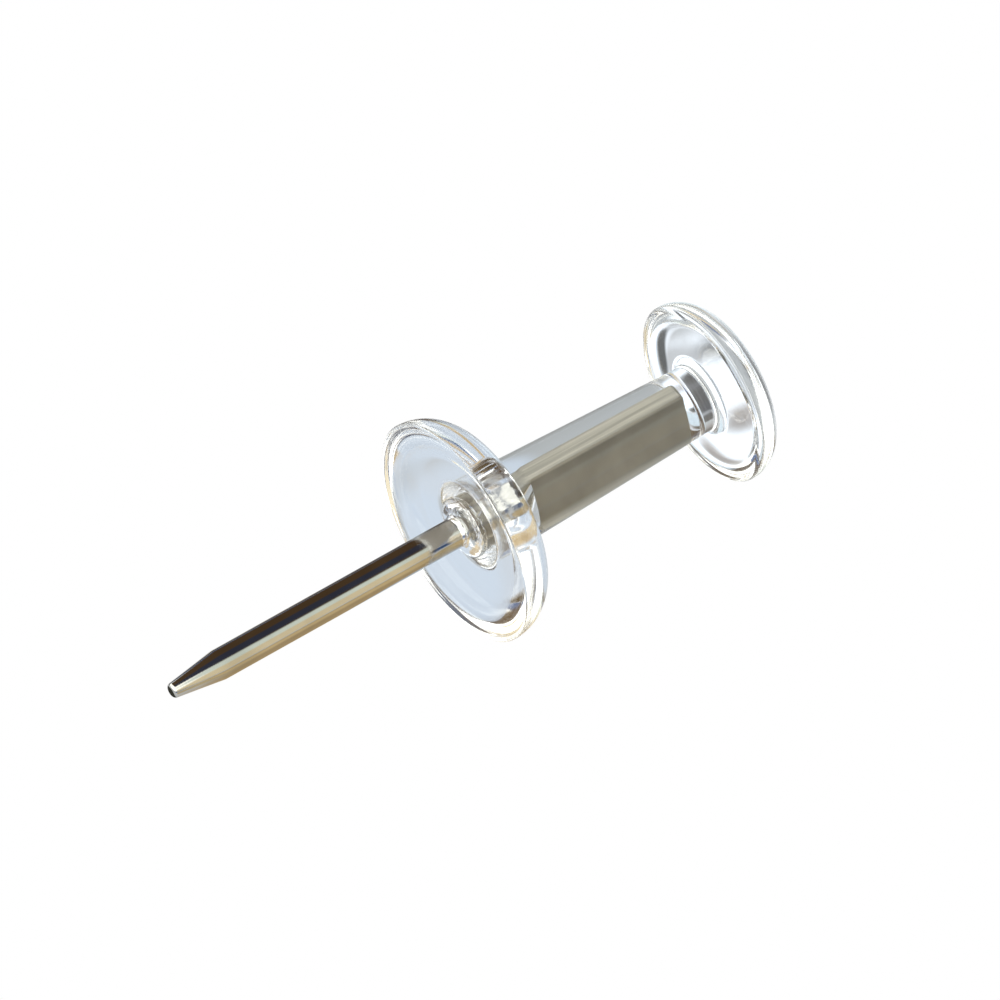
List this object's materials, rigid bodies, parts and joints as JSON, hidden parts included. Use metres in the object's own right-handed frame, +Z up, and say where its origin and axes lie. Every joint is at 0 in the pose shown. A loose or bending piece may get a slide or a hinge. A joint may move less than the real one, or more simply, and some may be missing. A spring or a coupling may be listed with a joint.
{
  "type": "push pin",
  "caption": "Clear push pin: a moulded plastic head with a wide collar, a slim tapered grip and a round thumb pad, carrying a plated steel needle with a blunt cone tip.",
  "frame": {"origin": "on the pin's axis, in the plane of the collar's flat face, which is where the board's surface is when the pin is pushed home", "axes": "-X along the needle into the board, +X out of the board towards the thumb pad, +Z up as on a wall board; all that stands outside the head's plastic is round about X, and the blade buried in it stands upright, wide along Z"},
  "size_m": [0.0228, 0.008, 0.008],
  "materials": {
    "clear_plastic": "clear acrylic, high gloss, as it leaves a polished mould",
    "plated_steel": "drawn steel wire with a bright, slightly warm nickel plate"
  },
  "bodies": {
    "root": {"clear_head": "clear_plastic", "steel_needle": "plated_steel"}
  },
  "joints": []
}
